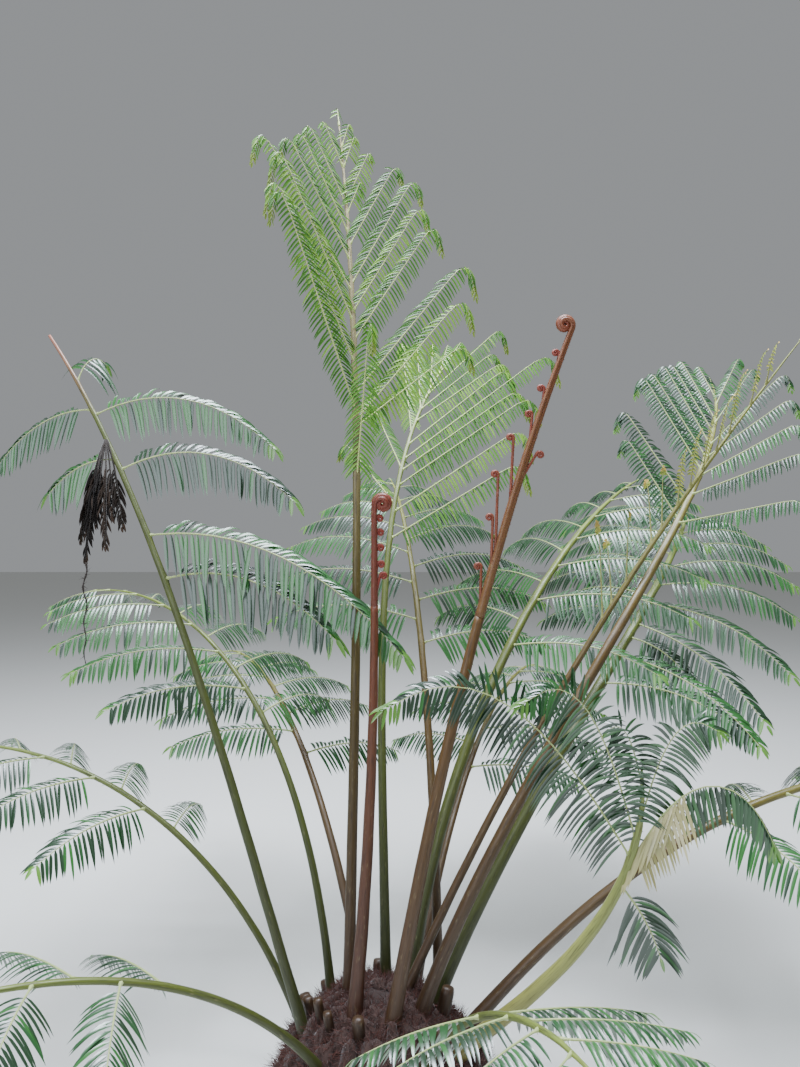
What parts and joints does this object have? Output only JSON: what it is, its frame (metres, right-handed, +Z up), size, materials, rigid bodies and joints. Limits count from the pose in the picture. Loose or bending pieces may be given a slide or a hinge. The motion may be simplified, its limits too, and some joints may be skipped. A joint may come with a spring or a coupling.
{
  "type": "king fern",
  "caption": "Large clump-forming fern: twice-divided arching fronds on thick stipes and young croziers, rising from a short rootstock cut flat at the ground.",
  "frame": {"origin": "middle of the flat cut under the rootstock, at ground level", "axes": "+Z up; +X to the right and -Y to the front, as the plant is seen in the reference view"},
  "size_m": [4.6766, 3.6926, 4.0014],
  "materials": {
    "rootstock": "rough fibre",
    "stipe": "smooth, slightly waxy",
    "crozier": "downy",
    "frond": "glossy leaf",
    "young_frond": "soft leaf",
    "withered": "dry, matt"
  },
  "bodies": {
    "root": {"rootstock": "rootstock", "stipe_tall": "stipe", "stipe_left": "stipe", "stipe_left_back": "stipe", "stipe_low_left": "stipe", "stipe_front_left": "stipe", "stipe_back": "stipe", "stipe_back_left": "stipe", "stipe_back_right": "stipe", "stipe_behind": "stipe", "stipe_behind_right": "stipe", "stipe_unrolling": "stipe", "stipe_far_right": "stipe", "stipe_right": "stipe", "stipe_front_right": "stipe", "stipe_low_right": "stipe", "stipe_front": "stipe", "stipe_crozier_left": "stipe", "stipe_crozier_right": "stipe", "crozier_left": "crozier", "crozier_right": "crozier", "blade_tall": "young_frond", "blade_left": "frond", "blade_left_back": "frond", "blade_left_back_far": "frond", "blade_low_left": "frond", "blade_front_left": "frond", "blade_back": "young_frond", "blade_back_left": "frond", "blade_back_left_far": "frond", "blade_back_right": "frond", "blade_back_right_far": "frond", "blade_behind": "frond", "blade_behind_far": "frond", "blade_behind_right": "frond", "blade_behind_right_far": "frond", "blade_unrolling": "young_frond", "blade_far_right": "frond", "blade_right": "frond", "blade_right_far": "frond", "blade_front_right": "frond", "blade_low_right": "frond", "blade_front": "frond", "withered_pinna": "withered"}
  },
  "joints": []
}
